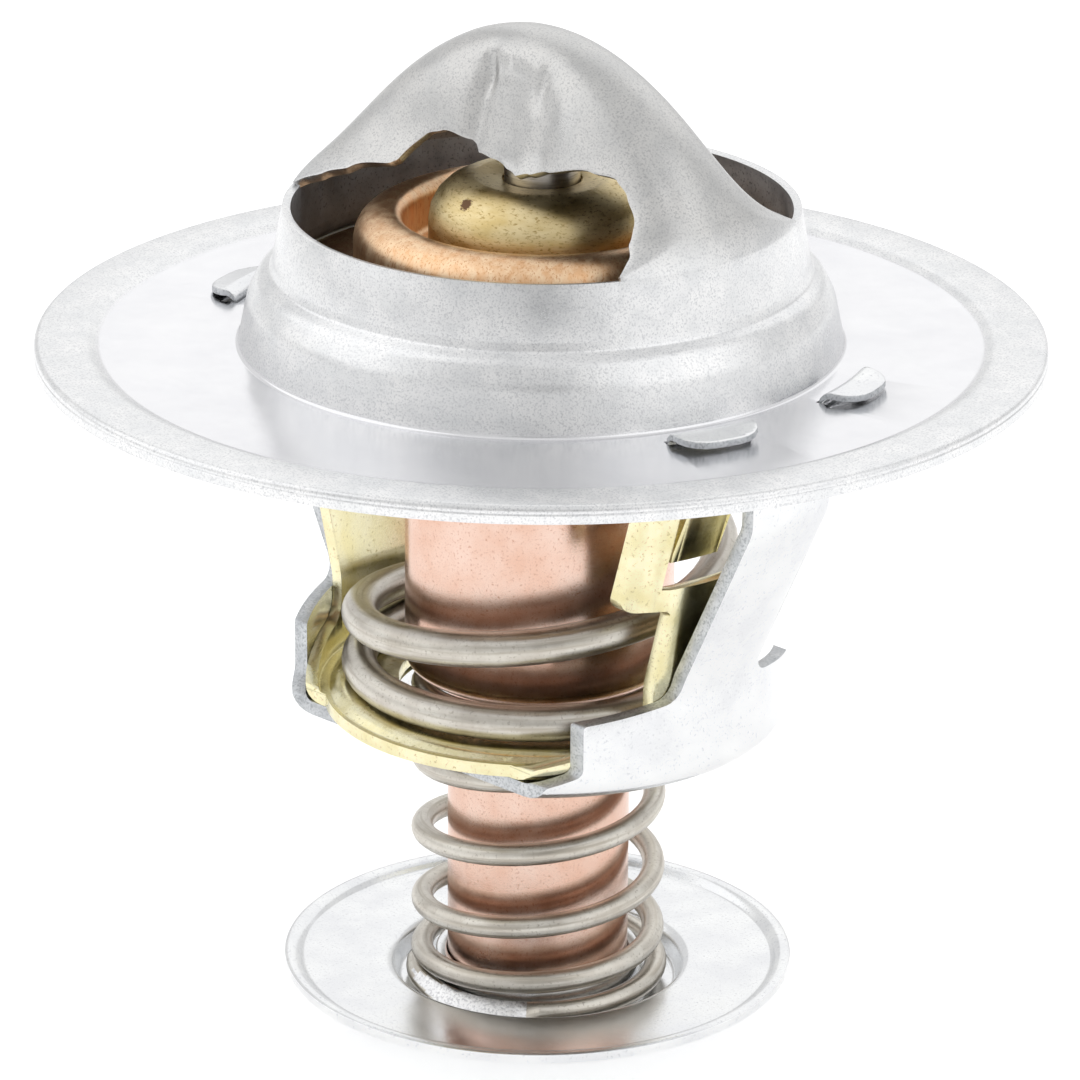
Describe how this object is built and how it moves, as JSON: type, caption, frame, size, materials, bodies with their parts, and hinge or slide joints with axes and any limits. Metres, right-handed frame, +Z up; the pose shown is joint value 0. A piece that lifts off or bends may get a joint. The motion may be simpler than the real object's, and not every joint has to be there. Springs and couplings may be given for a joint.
{
  "type": "engine thermostat",
  "caption": "Flanged engine thermostat with a pressed bridge, copper valve and wax element, coil return spring in a riveted strap, and a sprung bypass plate below.",
  "frame": {"origin": "bottom centre, on the end of the lower barrel", "axes": "+Z up the piston towards the bridge; the bridge and the strap's legs lie along X"},
  "size_m": [0.064, 0.064, 0.0664],
  "materials": {
    "zinc_steel": "satin",
    "bright_steel": "satin",
    "yellow_zinc_steel": "satin",
    "pin_steel": "polished",
    "copper": "satin",
    "brass": "satin",
    "spring_steel": "satin",
    "nitrile_rubber": "matte",
    "sealing_resin": "matte",
    "wax": "matte"
  },
  "bodies": {
    "housing": {"flange_housing": "zinc_steel", "piston_pin": "pin_steel", "lower_strap": "bright_steel", "spring_seat_frame": "yellow_zinc_steel", "main_spring": "spring_steel"},
    "element": {"valve_plate": "copper", "guide_body": "brass", "guide_bush": "brass", "wax_cup": "copper", "lower_barrel": "copper", "rubber_sleeve": "nitrile_rubber", "anti_extrusion_washer": "sealing_resin", "wax_charge": "wax", "retaining_ring": "pin_steel", "bypass_spring": "spring_steel"},
    "bypass": {"bypass_plate": "bright_steel"}
  },
  "joints": [
    {"name": "valve_lift", "type": "slide", "parent": "housing", "child": "element", "axis": [0, 0, -1], "range_m": [0, 0.008], "stiffness_N_per_m": 3000, "springref_m": -0.01, "deforming": ["main_spring"]},
    {"name": "bypass_slide", "type": "slide", "parent": "element", "child": "bypass", "axis": [0, 0, 1], "range_m": [0, 0.006], "stiffness_N_per_m": 800, "springref_m": -0.004, "deforming": ["bypass_spring"]}
  ]
}
